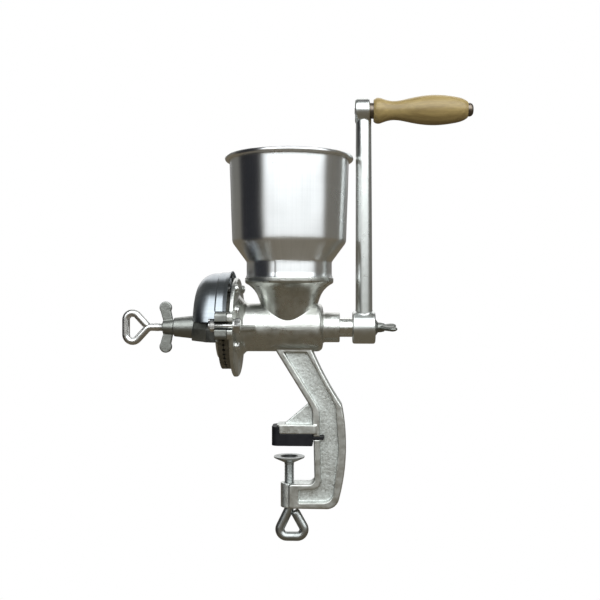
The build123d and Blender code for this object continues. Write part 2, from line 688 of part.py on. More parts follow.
with BuildPart() as crank_arm:
    with BuildSketch(shaft_plane(CRANK_X[0])) as crank_boss:
        Circle(CRANK_BOSS_R)
    extrude(amount=CRANK_X[1] - CRANK_X[0])
    fillet(crank_arm.edges().filter_by(GeomType.CIRCLE), 2.2)
    with BuildSketch(grip_plane(TOP_BOSS_X[0])) as top_boss:
        Circle(TOP_BOSS_R)
    extrude(amount=TOP_BOSS_X[1] - TOP_BOSS_X[0])
    fillet(crank_arm.edges().filter_by(GeomType.CIRCLE).filter_by_position(
        Axis.Z, GRIP_Z - TOP_BOSS_R - 1, GRIP_Z + TOP_BOSS_R + 1), 1.8)
    with BuildSketch(Plane.XY.offset(ARM_FOOT_Z)) as arm_foot:
        with Locations((ARM_X, 0)):
            Ellipse(8.7, 11)
    with BuildSketch(Plane.XY.offset(ARM_HEAD_Z)) as arm_head:
        with Locations((ARM_X - 0.4, 0)):
            Ellipse(8, 8.6)
    loft()
    with BuildSketch(shaft_plane(CRANK_X[0] - 1)) as square_hole:
        Rectangle(SQUARE + 2 * SLIP, SQUARE + 2 * SLIP)
    extrude(amount=CRANK_X[1] - CRANK_X[0] + 2, mode=Mode.SUBTRACT)
    with BuildSketch(grip_plane(TOP_BOSS_X[0] - 1)) as grip_tap:
        Circle(GRIP_BOLT_R + SLIP)
    extrude(amount=TOP_BOSS_X[1] - TOP_BOSS_X[0] + 2, mode=Mode.SUBTRACT)
save(crank_arm.part, "crank_arm")

with BuildPart() as crank_wing_screw:
    with BuildSketch(shaft_plane(CRANK_X[1] - 22)) as wing_screw_shank:
        Circle(TAP_R)
    extrude(amount=23)
    with BuildSketch(shaft_plane(CRANK_X[1] + 0.2)) as wing_screw_flange:
        Circle(8.2)
    with BuildSketch(shaft_plane(CRANK_X[1] + 2.6)) as wing_screw_neck:
        Circle(5.2)
    loft()
    with BuildSketch(shaft_plane(CRANK_X[1] + 2)) as wing_screw_hub:
        Circle(4.6)
    extrude(amount=7)
    for side in SIDES:
        with BuildSketch(Plane.XY.offset(SHAFT_Z - 1.8)) as screw_wing:
            Polygon(
                (CRANK_X[1] + 2, side * 2),
                (CRANK_X[1] + 8.6, side * 2),
                (CRANK_X[1] + 18, side * 8),
                (CRANK_X[1] + 12, side * 15),
                align=None,
            )
            with Locations((CRANK_X[1] + 17, side * 11.8)):
                Circle(5)
        extrude(amount=3.6)
save(crank_wing_screw.part, "crank_wing_screw")

# ---------------------------------------------------------------- grip and its bolt
with BuildPart() as wooden_grip:
    with BuildSketch(Plane.XZ) as grip_profile:
        with BuildLine():
            start = Line((GRIP_X[0], GRIP_Z), (GRIP_X[0], GRIP_Z + 11))
            Spline(
                start @ 1,
                (GRIP_X[0] + 4.6, GRIP_Z + 13.1),
                (GRIP_X[0] + 10.5, GRIP_Z + 11.5),
                (107, GRIP_Z + 9.6),
                (122, GRIP_Z + 11.9),
                (148, GRIP_Z + 15.2),
                (168, GRIP_Z + 13.4),
                (179, GRIP_Z + 10.2),
                (GRIP_X[1], GRIP_Z + 8.2),
            )
            Polyline((GRIP_X[1], GRIP_Z + 8.2), (GRIP_X[1], GRIP_Z), (GRIP_X[0], GRIP_Z))
        make_face()
    revolve(axis=GRIP_AXIS)
    with BuildSketch(grip_plane(GRIP_X[0] - 1)) as grip_bore:
        Circle(GRIP_BOLT_R + RUNNING)
    extrude(amount=GRIP_X[1] - GRIP_X[0] + 2, mode=Mode.SUBTRACT)
save(wooden_grip.part, "wooden_grip")

with BuildPart() as grip_bolt:
    with BuildSketch(grip_plane(TOP_BOSS_X[0] - 0.4)) as grip_shank:
        Circle(GRIP_BOLT_R)
    extrude(amount=GRIP_X[1] - TOP_BOSS_X[0] + 1)
    with BuildSketch(grip_plane(GRIP_X[1] + 0.1)) as grip_head:
        Circle(6.9)
    extrude(amount=5.7)
    fillet(grip_bolt.edges().sort_by(Axis.X)[-1], 4)
save(grip_bolt.part, "grip_bolt")

with BuildPart() as grip_collar:
    with BuildSketch(grip_plane(TOP_BOSS_X[1])) as collar_ring:
        Circle(8)
        Circle(GRIP_BOLT_R + SLIP, mode=Mode.SUBTRACT)
    extrude(amount=GRIP_X[0] - 0.1 - TOP_BOSS_X[1])
save(grip_collar.part, "grip_collar")

# ---------------------------------------------------------------- clamp pad and clamp screw
with BuildPart() as clamp_pad:
    with BuildSketch(Plane.XZ) as pad_profile:
        Polygon(
            (0, PAD_BASE_Z),
            (5.6, PAD_BASE_Z),
            (PAD_R - 0.6, PAD_TOP_Z - 1.6),
            (PAD_R, PAD_TOP_Z - 1),
            (PAD_R, PAD_TOP_Z),
            (9.2, PAD_TOP_Z),
            (7.6, PAD_TOP_Z - 2.4),
            (0, PAD_TOP_Z - 2.4),
            align=None,
        )
    revolve(axis=Axis.Z)
    with BuildSketch(Plane.XY.offset(PAD_BASE_Z)) as pad_bore:
        Circle(PAD_STEM_R + RUNNING)
    extrude(amount=6, mode=Mode.SUBTRACT)
save(clamp_pad.part, "clamp_pad")

# The rod's end is bent into a three-cornered ring, as on the adjusting screw.
CLAMP_APEX_Z = -66.5
CLAMP_RING_Z = -94.9

with BuildPart() as clamp_screw:
    with BuildLine(Plane.XZ) as clamp_path:
        FilletPolyline(
            (0, -58),
            (0, CLAMP_APEX_Z),
            (-13.8, CLAMP_RING_Z),
            (20.1, CLAMP_RING_Z),
            (7.6, -69.4),
            radius=(8, 7, 7),
        )
    with BuildSketch(Plane.XY.offset(-58)) as clamp_wire:
        Circle(CLAMP_WIRE_R)
    sweep()
    with BuildSketch(Plane.XY.offset(-62)) as clamp_shank:
        Circle(CLAMP_SCREW_R)
    extrude(amount=PAD_BASE_Z - 0.2 + 62)
    # the stem turns in the pad, and its riveted end holds the pad on
    with BuildSketch(Plane.XY.offset(PAD_BASE_Z - 1)) as stem:
        Circle(PAD_STEM_R)
    extrude(amount=PAD_TOP_Z - 2.2 - PAD_BASE_Z + 1)
    with BuildSketch(Plane.XY.offset(PAD_TOP_Z - 2.25)) as stem_head:
        Circle(4.6)
    extrude(amount=1)
save(clamp_screw.part, "clamp_screw")
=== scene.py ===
import json
from math import asin, cos, pi, radians, sin, sqrt, tau

import bmesh
import bpy
from mathutils import Matrix, Vector, noise


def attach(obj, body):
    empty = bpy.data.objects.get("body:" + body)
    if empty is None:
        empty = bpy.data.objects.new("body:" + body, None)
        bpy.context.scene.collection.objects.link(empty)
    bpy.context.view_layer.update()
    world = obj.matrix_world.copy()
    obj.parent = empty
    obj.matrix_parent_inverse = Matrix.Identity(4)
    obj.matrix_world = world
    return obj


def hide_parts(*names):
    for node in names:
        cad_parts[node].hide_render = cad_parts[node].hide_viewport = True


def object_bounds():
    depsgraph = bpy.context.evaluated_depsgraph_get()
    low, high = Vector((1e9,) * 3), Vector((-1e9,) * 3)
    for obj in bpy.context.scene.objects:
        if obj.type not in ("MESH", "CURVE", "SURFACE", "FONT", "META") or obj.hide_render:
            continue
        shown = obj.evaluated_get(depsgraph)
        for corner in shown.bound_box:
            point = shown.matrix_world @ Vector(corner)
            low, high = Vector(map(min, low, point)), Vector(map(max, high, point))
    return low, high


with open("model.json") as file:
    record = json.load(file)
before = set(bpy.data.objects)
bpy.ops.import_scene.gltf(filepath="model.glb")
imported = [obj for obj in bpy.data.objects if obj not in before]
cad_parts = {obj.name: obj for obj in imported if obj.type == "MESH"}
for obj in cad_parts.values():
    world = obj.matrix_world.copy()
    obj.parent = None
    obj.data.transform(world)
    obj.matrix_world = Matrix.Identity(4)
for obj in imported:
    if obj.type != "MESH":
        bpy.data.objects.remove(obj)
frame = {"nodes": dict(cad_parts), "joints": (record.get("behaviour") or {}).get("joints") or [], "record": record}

# The looks of a hand grain mill. Lengths are metres in the part's own frame: +X runs along the
# main shaft to the crank, +Z is up, and the origin is under the jaw's rubber pad.

MM = 0.001
cad_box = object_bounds()
nodes = frame["nodes"]
slots = {part["node"]: part["material_slot"] for part in frame["record"]["subparts"]}
joints = {joint["name"]: joint for joint in frame["joints"]}
ORIGIN = Vector((0, 0, 0))
SHAFT = Vector(joints["crank_turn"]["pos_m"]) * Vector((0, 1, 1))  # the main shaft's axis at x = 0

# sockets of a Mix node that carry colours
MIX_UNDER = 6
MIX_OVER = 7
MIX_RESULT = 2


# ---------------------------------------------------------------- studio
CAMERA_TARGET = Vector((0.0111, 0, 0.1483))
CAMERA_DISTANCE = 0.865
CAMERA_AZIMUTH = radians(3)
CAMERA_LENS = 50.4
CAMERA_CLIP = (0.05, 20)
ROOM_RADIUS = 6.0
FLOOR_DROP = 24 * MM  # leaves room for the clamp's ring and the grip at their lowest

# What surrounds the mill and shows in its metal. Angles are in degrees. Azimuth is 0 behind the
# camera and grows towards the crank. A panel has its azimuths, its elevations and its colour,
# and the third number of each pair of angles is how softly it ends.
LOW = (0.150, 0.128, 0.092)
HORIZON = (0.17, 0.17, 0.16)
HIGH = (0.09, 0.09, 0.085)
HORIZON_STARTS = (-6, 4)
HIGH_STARTS = (25, 60)
FLAG = ((-106, -52, 6), (-35, 55, 12), (0.02, 0.021, 0.025))
SOFTBOX = ((-47, 76, 6), (8, 66, 4), (2.75, 2.85, 2.9))
REAR_PANEL = ((148, 200, 6), (12, 60, 6), (1.5, 1.5, 1.5))


def add_camera():
    """A level camera a little to the crank's side of square on."""
    camera = bpy.data.objects.new("camera", bpy.data.cameras.new("camera"))
    back = Vector((sin(CAMERA_AZIMUTH), -cos(CAMERA_AZIMUTH), 0))
    camera.location = CAMERA_TARGET + CAMERA_DISTANCE * back
    camera.rotation_euler = (pi / 2, 0, CAMERA_AZIMUTH)
    camera.data.lens = CAMERA_LENS
    camera.data.clip_start, camera.data.clip_end = CAMERA_CLIP
    bpy.context.scene.collection.objects.link(camera)
    bpy.context.scene.camera = camera


def camera_only(obj):
    """The floor and backdrop are seen but light nothing, so the metal reflects the studio."""
    obj.visible_diffuse = obj.visible_glossy = obj.visible_transmission = False
    obj.visible_shadow = obj.visible_volume_scatter = False
    bpy.context.scene.collection.objects.link(obj)


def add_backdrop():
    """A pale floor under the mill and a white room round it."""
    white = bpy.data.materials.new("backdrop_white")
    white.use_nodes = True
    tree = white.node_tree
    tree.nodes.remove(tree.nodes["Principled BSDF"])
    glow = tree.nodes.new("ShaderNodeEmission")
    tree.links.new(glow.outputs[0], tree.nodes["Material Output"].inputs["Surface"])
    floor, room = bmesh.new(), bmesh.new()
    bmesh.ops.create_circle(floor, cap_ends=True, segments=64, radius=ROOM_RADIUS)
    bmesh.ops.create_uvsphere(room, u_segments=48, v_segments=24, radius=ROOM_RADIUS)
    for name, shape, height in (("floor", floor, cad_box[0].z - FLOOR_DROP), ("room", room, 0)):
        mesh = bpy.data.meshes.new(name)
        shape.to_mesh(mesh)
        shape.free()
        mesh.materials.append(white)
        obj = bpy.data.objects.new(name, mesh)
        obj.location.z = height
        camera_only(obj)


def add_studio_light():
    """A soft surround: a large softbox over the camera, a dark flag at its left, light panels
    behind the mill and a dim floor below."""
    world = bpy.data.worlds.new("studio")
    bpy.context.scene.world = world
    world.use_nodes = True
    tree = world.node_tree
    links = tree.links

    def math(operation, *values):
        made = tree.nodes.new("ShaderNodeMath")
        made.operation = operation
        for socket, value in zip(made.inputs, values):
            if isinstance(value, (int, float)):
                socket.default_value = value
            else:
                links.new(value, socket)
        return made.outputs[0]

    def ramp(value, start, end):
        """0 before start and 1 past end, with a smooth step between."""
        made = tree.nodes.new("ShaderNodeMapRange")
        made.interpolation_type = "SMOOTHSTEP"
        links.new(value, made.inputs["Value"])
        made.inputs["From Min"].default_value = start
        made.inputs["From Max"].default_value = end
        return made.outputs[0]

    def window(value, low, high, soft):
        """1 between low and high, and 0 outside."""
        return math("MULTIPLY", ramp(value, low - soft, low + soft), ramp(value, high + soft, high - soft))

    def blend(share, under, over):
        made = tree.nodes.new("ShaderNodeMix")
        made.data_type = "RGBA"
        links.new(share, made.inputs["Factor"])
        for index, value in ((MIX_UNDER, under), (MIX_OVER, over)):
            if isinstance(value, tuple):
                made.inputs[index].default_value = (*value, 1)
            else:
                links.new(value, made.inputs[index])
        return made.outputs[MIX_RESULT]

    where = tree.nodes.new("ShaderNodeTexCoord")
    split = tree.nodes.new("ShaderNodeSeparateXYZ")
    links.new(where.outputs["Generated"], split.inputs[0])
    x, y, z = split.outputs
    degrees = 180 / pi
    elevation = math("MULTIPLY", math("ARCSINE", z), degrees)
    azimuth = math("MULTIPLY", math("ARCTAN2", x, math("MULTIPLY", y, -1)), degrees)
    sideways = math("ABSOLUTE", azimuth)

    colour = blend(ramp(elevation, *HORIZON_STARTS), LOW, HORIZON)
    colour = blend(ramp(elevation, *HIGH_STARTS), colour, HIGH)
    for around, panel in ((azimuth, FLAG), (azimuth, SOFTBOX), (sideways, REAR_PANEL)):
        azimuths, elevations, shade = panel
        share = math("MULTIPLY", window(around, *azimuths), window(elevation, *elevations))
        colour = blend(share, colour, shade)
    links.new(colour, tree.nodes["Background"].inputs["Color"])


# ---------------------------------------------------------------- finishes
class Finish:
    """A procedural material. Its patterns are in object coordinates, in metres, so that they stay
    on the piece. A noise's scale is how many times it changes in a metre."""

    def __init__(self, name):
        self.material = bpy.data.materials.new(name)
        self.material.use_nodes = True
        self.tree = self.material.node_tree
        self.shader = self.tree.nodes["Principled BSDF"]
        self.place = self.node("ShaderNodeTexCoord").outputs["Object"]
        self.relief = None

    def node(self, kind, **settings):
        made = self.tree.nodes.new(kind)
        for key, value in settings.items():
            setattr(made, key, value)
        return made

    def feed(self, socket, value):
        if isinstance(value, bpy.types.NodeSocket):
            self.tree.links.new(value, socket)
        else:
            socket.default_value = value

    def set(self, **values):
        """Sets sockets of the shader, where base_color stands for Base Color."""
        for key, value in values.items():
            self.feed(self.shader.inputs[key.replace("_", " ").title().replace("Ior", "IOR")], value)

    def math(self, operation, a, b=0.0):
        made = self.node("ShaderNodeMath", operation=operation)
        self.feed(made.inputs[0], a)
        self.feed(made.inputs[1], b)
        return made.outputs[0]

    def times(self, a, b):
        return self.math("MULTIPLY", a, b)

    def plus(self, a, b):
        return self.math("ADD", a, b)

    def highest(self, value, *others):
        for other in others:
            value = self.math("MAXIMUM", value, other)
        return value

    def split(self, vector):
        """The x, y and z of a vector."""
        made = self.node("ShaderNodeSeparateXYZ")
        self.feed(made.inputs[0], vector)
        return made.outputs

    def stretched(self, scale):
        """Object coordinates with each axis scaled, to draw a pattern out along one."""
        mapping = self.node("ShaderNodeMapping")
        self.feed(mapping.inputs["Vector"], self.place)
        mapping.inputs["Scale"].default_value = scale
        return mapping.outputs[0]

    def polar(self, axis, centre, along, around):
        """Coordinates for marks that run round an axis: along it and outwards they change
        `along` times a metre, and round it `around` times a radian."""
        moved = self.node("ShaderNodeVectorMath", operation="SUBTRACT")
        self.feed(moved.inputs[0], self.place)
        moved.inputs[1].default_value = centre
        parts = self.split(moved.outputs[0])
        length, side, up = (parts[i] for i in {"X": (0, 1, 2), "Z": (2, 0, 1)}[axis])
        radius = self.math("SQRT", self.plus(self.times(side, side), self.times(up, up)))
        marks = self.node("ShaderNodeCombineXYZ")
        self.feed(marks.inputs[0], self.times(self.plus(length, radius), along))
        # the sine and cosine of the angle, which have no seam where it wraps round
        for i, way in ((1, side), (2, up)):
            self.feed(marks.inputs[i], self.times(self.math("DIVIDE", way, radius), around))
        # turned away from the noise's own grid, which would show as a plaid
        turned_marks = self.node("ShaderNodeMapping")
        self.feed(turned_marks.inputs["Vector"], marks.outputs[0])
        turned_marks.inputs["Rotation"].default_value = (0.6, 0.5, 0.3)
        return turned_marks.outputs[0]

    def noise(self, scale, detail=3.0, roughness=0.55, vector=None):
        made = self.node("ShaderNodeTexNoise")
        self.feed(made.inputs["Vector"], vector or self.place)
        made.inputs["Scale"].default_value = scale
        made.inputs["Detail"].default_value = detail
        made.inputs["Roughness"].default_value = roughness
        return made.outputs["Fac"]

    def range(self, value, low, high, to_low=0.0, to_high=1.0):
        made = self.node("ShaderNodeMapRange")
        self.feed(made.inputs["Value"], value)
        for key, number in (("From Min", low), ("From Max", high), ("To Min", to_low), ("To Max", to_high)):
            made.inputs[key].default_value = number
        return made.outputs[0]

    def mix(self, share, under, over):
        made = self.node("ShaderNodeMix", data_type="RGBA")
        self.feed(made.inputs["Factor"], share)
        for index, colour in ((MIX_UNDER, under), (MIX_OVER, over)):
            self.feed(made.inputs[index], (*colour, 1) if isinstance(colour, tuple) else colour)
        return made.outputs[MIX_RESULT]

    def edges(self, low=0.52, high=0.60):
        """1 on outward edges, from the mesh's own curvature."""
        return self.range(self.node("ShaderNodeNewGeometry").outputs["Pointiness"], low, high)

    def hollows(self, low=0.43, high=0.49):
        """1 in the hollows, from the mesh's own curvature; cast_tin paints shade there."""
        return self.range(self.node("ShaderNodeNewGeometry").outputs["Pointiness"], low, high, 1, 0)

    def bump(self, value, height, strength=1.0):
        """Adds relief of this height, in metres."""
        made = self.node("ShaderNodeBump")
        self.feed(made.inputs["Height"], value)
        made.inputs["Distance"].default_value = height
        made.inputs["Strength"].default_value = strength
        if self.relief is not None:
            self.feed(made.inputs["Normal"], self.relief)
        self.relief = made.outputs[0]
        self.feed(self.shader.inputs["Normal"], self.relief)


# the web of the clamp frame, which is left rough from the sand
FRAME_TOP_Z = 96 * MM
FRAME_FADE = 6 * MM
WEB_Y = 9.5 * MM
WEB_FADE = 1 * MM


def cast_tin(name, light, dark, rough, grain, as_cast=0.0):
    """Tin-plated cast iron: satin, stained in patches, darkened in the hollows by painted shade, bright along the
    edges. grain is the height of its sand grain, and as_cast that of the rougher skin on the clamp frame's web."""
    look = Finish(name)
    bright = tuple(min(0.85, 1.25 * channel) for channel in light)
    stain = look.range(look.noise(45, 5, 0.6), 0.45, 0.70)
    speck = look.range(look.noise(900, 2, 0.5), 0.60, 0.72)
    worn = look.edges()
    # painted shade: the hollows are darkened as if shaded, mixed with real stains and specks
    dirt_and_painted_shade = look.highest(look.times(stain, 0.45), look.times(look.hollows(), 0.75), look.times(speck, 0.35))
    colour = look.mix(look.times(worn, 0.7), look.mix(dirt_and_painted_shade, light, dark), bright)
    patch = look.plus(look.range(look.noise(140, 4, 0.6), 0.3, 0.7, *rough), look.times(dirt_and_painted_shade, 0.12))
    look.bump(look.noise(240, 3, 0.5), grain * 2, 0.6)
    look.bump(look.noise(1000, 3, 0.65), grain, 0.8)
    if as_cast:
        x, y, z = look.split(look.place)
        on_frame = look.range(z, FRAME_TOP_Z + FRAME_FADE, FRAME_TOP_Z)
        inward = look.range(look.math("ABSOLUTE", y), WEB_Y + WEB_FADE, WEB_Y)
        web = look.times(on_frame, inward)
        patch = look.plus(patch, look.plus(look.times(web, 0.08), look.times(on_frame, 0.06)))
        sand = look.noise(420, 4, 0.7)
        look.bump(look.times(sand, web), as_cast)
        pitted = look.mix(look.range(sand, 0.36, 0.58), (0.42, 0.44, 0.42), (0.82, 0.86, 0.84))
        colour = look.mix(look.times(web, 0.6), colour, pitted)
    rough_skin = look.math("SUBTRACT", patch, look.times(worn, 0.08))
    look.set(base_color=colour, metallic=1.0, roughness=rough_skin)
    return look.material


def spun_tinplate(name, axis, centre, light, dark, stretch):
    """Bright tinplate spun on a former: fine rings round its axis that draw the reflections out
    along it. Its roughness changes only gently, because a sharp change breaks them into dashes."""
    look = Finish(name)
    rings = look.range(look.noise(1.0, 3, 0.7, look.polar(axis, centre, 300, 0.5)), 0.35, 0.7)
    streaks = look.range(look.noise(1.0, 3, 0.6, look.polar(axis, centre, 4, 26)), 0.4, 0.7)
    smudge = look.range(look.noise(34, 4, 0.6), 0.35, 0.7)
    dull = look.plus(look.times(smudge, 0.30), look.times(rings, 0.15))
    dull = look.plus(dull, look.times(streaks, 0.45))
    look.set(base_color=look.mix(dull, light, dark), metallic=1.0, anisotropic=stretch)
    look.set(roughness=look.range(look.noise(18, 1, 0.5), 0.0, 1.0, 0.24, 0.33))
    tangent = look.node("ShaderNodeTangent", direction_type="RADIAL", axis=axis)
    look.set(tangent=tangent.outputs[0], anisotropic_rotation=0.25)
    look.bump(streaks, 0.01 * MM, 0.4)
    look.bump(look.noise(40, 2, 0.5), 0.2 * MM, 0.25)
    return look.material


def burr_iron():
    """Hard grey iron, ground in rings on its face and dull with oil."""
    look = Finish("burr_iron")
    mottle = look.range(look.noise(300, 5, 0.6), 0.35, 0.65)
    grinding = look.noise(1.0, 2, 0.6, look.polar("X", SHAFT, 900, 2))
    colour = look.mix(mottle, (0.16, 0.155, 0.13), (0.28, 0.27, 0.24))
    look.set(base_color=colour, metallic=1.0, roughness=look.range(mottle, 0, 1, 0.56, 0.40))
    look.bump(grinding, 0.012 * MM, 0.5)
    look.bump(look.noise(900, 3, 0.6), 0.05 * MM, 0.6)
    return look.material


def steel(name, light, dark, rough):
    """Plated or blackened steel: hazed in patches, and dulled where hands and nuts have rubbed it."""
    look = Finish(name)
    haze = look.range(look.noise(220, 4, 0.6), 0.35, 0.7)
    rubbed = look.range(look.noise(70, 4, 0.6), 0.5, 0.72)
    colour = look.mix(look.times(rubbed, 0.5), look.mix(look.times(haze, 0.3), light, dark), dark)
    rough_skin = look.plus(look.range(haze, 0, 1, *rough), look.times(rubbed, 0.10))
    look.set(base_color=colour, metallic=1.0, roughness=rough_skin)
    look.bump(look.noise(1500, 2, 0.5), 0.004 * MM, 0.6)
    look.bump(look.noise(160, 2, 0.5), 0.03 * MM, 0.4)
    return look.material


def black_rubber():
    """Moulded rubber: matt and finely pitted, greyed along its edges."""
    look = Finish("black_rubber")
    dust = look.range(look.noise(90, 5, 0.65), 0.45, 0.75)
    colour = look.mix(look.times(dust, 0.4), (0.006, 0.006, 0.008), (0.022, 0.022, 0.023))
    colour = look.mix(look.times(look.edges(0.52, 0.58), 0.5), colour, (0.045, 0.045, 0.046))
    look.set(base_color=colour, roughness=look.range(dust, 0, 1, 0.5, 0.7), specular_ior_level=0.22)
    look.bump(look.noise(2200, 2, 0.6), 0.03 * MM, 0.8)
    look.bump(look.noise(200, 3, 0.5), 0.1 * MM, 0.4)
    return look.material


def pale_wood():
    """Turned pale wood under clear lacquer, its grain along the grip."""
    look = Finish("pale_wood")
    wander = look.noise(30, 3, 0.5, look.stretched((0.15, 1, 1)))
    grain = look.noise(420, 4, 0.6, look.stretched((0.03, 1, 0.5)))
    fibre = look.noise(2600, 3, 0.7, look.stretched((0.035, 1, 1)))
    fleck = look.range(look.noise(1500, 2, 0.5, look.stretched((0.10, 1, 1))), 0.60, 0.72)
    fibre_marks = look.times(look.range(fibre, 0.35, 0.7), 0.35)
    pale_bands = look.times(look.range(wander, 0.35, 0.7), 0.40)
    colour = look.mix(look.range(grain, 0.35, 0.65), (0.44, 0.325, 0.125), (0.25, 0.175, 0.060))
    colour = look.mix(fibre_marks, colour, (0.38, 0.26, 0.11))
    colour = look.mix(look.times(fleck, 0.55), colour, (0.25, 0.15, 0.06))
    colour = look.mix(pale_bands, colour, (0.48, 0.375, 0.16))
    look.set(base_color=colour, roughness=look.range(fibre, 0.3, 0.7, 0.36, 0.50))
    look.set(coat_weight=0.25, coat_roughness=0.28)
    look.bump(fibre, 0.03 * MM, 0.5)
    look.bump(grain, 0.05 * MM, 0.3)
    return look.material


finish = {
    "tinned_casting": cast_tin(
        "tinned_casting", (0.63, 0.64, 0.61), (0.25, 0.245, 0.215), (0.22, 0.38), 0.08 * MM, 0.3 * MM),
    "burr_iron": burr_iron(),
    "plated_steel": steel("plated_steel", (0.76, 0.76, 0.75), (0.38, 0.37, 0.35), (0.25, 0.36)),
    "bright_steel": steel("bright_steel", (0.60, 0.60, 0.60), (0.30, 0.30, 0.30), (0.14, 0.26)),
    "black_rubber": black_rubber(),
    "pale_wood": pale_wood(),
    "dark_steel": steel("dark_steel", (0.22, 0.185, 0.15), (0.09, 0.075, 0.06), (0.34, 0.5)),
}
dull_casting = cast_tin(
    "dull_casting", (0.31, 0.32, 0.30), (0.11, 0.11, 0.098), (0.34, 0.50), 0.12 * MM)
satin_casting = cast_tin(
    "satin_casting", (0.66, 0.68, 0.66), (0.54, 0.55, 0.53), (0.26, 0.33), 0.002 * MM)
# a darker copy of the plated steel for the clamp screw and the clamp pad; on the pad it is partly painted shade,
# darkening the whole pad to stand for the shade in its cup
darker_steel = steel("darker_steel", (0.44, 0.46, 0.45), (0.22, 0.22, 0.21), (0.28, 0.40))
hopper_sheet = spun_tinplate(
    "hopper_tinplate", "Z", ORIGIN, (0.93, 0.94, 0.95), (0.78, 0.80, 0.81), 0.85)
shield_sheet = spun_tinplate(
    "shield_tinplate", "X", SHAFT, (0.36, 0.39, 0.415), (0.24, 0.265, 0.285), 0.55)


# ---------------------------------------------------------------- mesh making
def in_mm(x, z):
    """A point in the mill's middle plane, given in mm."""
    return Vector((x, 0, z)) * MM


def mm_profile(points):
    """(along, radius) points given in mm."""
    return [(along * MM, radius * MM) for along, radius in points]


def rounded(corners, radii, step):
    """The corners of an open line rounded off: tangent arcs of these radii, cut every step or less."""
    line = [corners[0]]
    for before, corner, after, radius in zip(corners, corners[1:], corners[2:], radii):
        into, out = (before - corner).normalized(), (after - corner).normalized()
        half = into.angle(out) / 2
        reach = radius / abs(sin(half)) * cos(half)
        centre = corner + (into + out).normalized() * (radius / sin(half))
        first, last = corner + into * reach - centre, corner + out * reach - centre
        turn = first.angle(last)
        pieces = max(3, int(turn * radius / step))
        for i in range(pieces + 1):
            share = i / pieces
            line.append(centre + (first * sin((1 - share) * turn) + last * sin(share * turn)) / sin(turn))
    return line + [corners[-1]]


def resampled(line, step):
    """The same line with points about a step apart."""
    nearly_one = 0.999  # rounds up, but not for a rounding error
    made = [line[0]]
    for a, b in zip(line, line[1:]):
        pieces = max(1, int((b - a).length / step + nearly_one))
        made += [a.lerp(b, (i + 1) / pieces) for i in range(pieces)]
    return made


def skin(name, rings, closed=False):
    """A mesh over rings of points. Its ends are capped, or closed joins the last ring to the first."""
    count = len(rings[0])
    faces = []
    for i in range(len(rings) - (0 if closed else 1)):
        a, b = i * count, (i + 1) % len(rings) * count
        faces += [(a + j, a + (j + 1) % count, b + (j + 1) % count, b + j) for j in range(count)]
    if not closed:
        faces.append(tuple(reversed(range(count))))
        faces.append(tuple(range((len(rings) - 1) * count, len(rings) * count)))
    mesh = bpy.data.meshes.new(name)
    mesh.from_pydata([point for ring in rings for point in ring], [], faces)
    return mesh


AXES = {
    "X": (Vector((1, 0, 0)), Vector((0, 1, 0)), Vector((0, 0, 1))),
    "Z": (Vector((0, 0, 1)), Vector((1, 0, 0)), Vector((0, 1, 0))),
}


def turned(name, axis, centre, profile, segments=96, closed=False, shape=None):
    """A piece turned about an axis through centre, from (along, radius) points.
    shape(along, radius, angle) gives the radius at an angle where the piece isn't quite round."""
    along_way, side, up = AXES[axis]
    rings = []
    for along, radius in profile:
        ring = []
        for j in range(segments):
            angle = tau * j / segments
            reach = shape(along, radius, angle) if shape else radius
            ring.append(centre + along_way * along + (side * cos(angle) + up * sin(angle)) * reach)
        rings.append(ring)
    return skin(name, rings, closed)


def face_outwards(mesh):
    """Turns every face of a closed mesh outwards."""
    shape = bmesh.new()
    shape.from_mesh(mesh)
    bmesh.ops.recalc_face_normals(shape, faces=shape.faces)
    shape.to_mesh(mesh)
    shape.free()


def piece(name, mesh, body, slot, material, *replaced):
    """Puts a finished mesh in the scene as a piece on a body, standing for these CAD nodes."""
    face_outwards(mesh)
    mesh.materials.clear()
    mesh.materials.append(material)
    mesh.shade_smooth()
    mesh.set_sharp_from_angle(angle=radians(42))
    obj = bpy.data.objects.new(name, mesh)
    bpy.context.scene.collection.objects.link(obj)
    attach(obj, body)
    if replaced:
        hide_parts(*replaced)


def uneven(mesh, lumps):
    """Moves a casting's skin in and out a little, by about this much."""
    places = [vertex.co.copy() for vertex in mesh.vertices]
    normals = [vertex.normal.copy() for vertex in mesh.vertices]
    moved = []
    for place, normal in zip(places, normals):
        wave = noise.noise(place * 90) + 0.5 * noise.noise(place * 230)
        moved.extend(place + normal * (wave * lumps))
    mesh.vertices.foreach_set("co", moved)


def run_over(meshes, depth, rounding, lumps, keep=1.0, mode="SMOOTH"):
    """Closed meshes run together as one casting: its edges rounded and its skin a little uneven.
    depth sets how fine it is, rounding how far its edges are smoothed, and keep the share of the
    faces that stay."""
    parts = [bpy.data.objects.new("part", mesh) for mesh in meshes]
    for part in parts:
        bpy.context.scene.collection.objects.link(part)
    rough = parts[0]
    for part in parts[1:]:
        union = rough.modifiers.new("union", "BOOLEAN")
        union.operation, union.object = "UNION", part
    remesh = rough.modifiers.new("remesh", "REMESH")
    remesh.mode = mode
    remesh.octree_depth = depth
    remesh.use_remove_disconnected = False
    smooth = rough.modifiers.new("smooth", "SMOOTH")
    smooth.factor, smooth.iterations = 0.5, rounding
    if keep < 1:
        rough.modifiers.new("decimate", "DECIMATE").ratio = keep
    made = bpy.data.meshes.new_from_object(rough.evaluated_get(bpy.context.evaluated_depsgraph_get()))
    for part in parts:
        mesh = part.data
        bpy.data.objects.remove(part)
        bpy.data.meshes.remove(mesh)
    uneven(made, lumps)
    return made


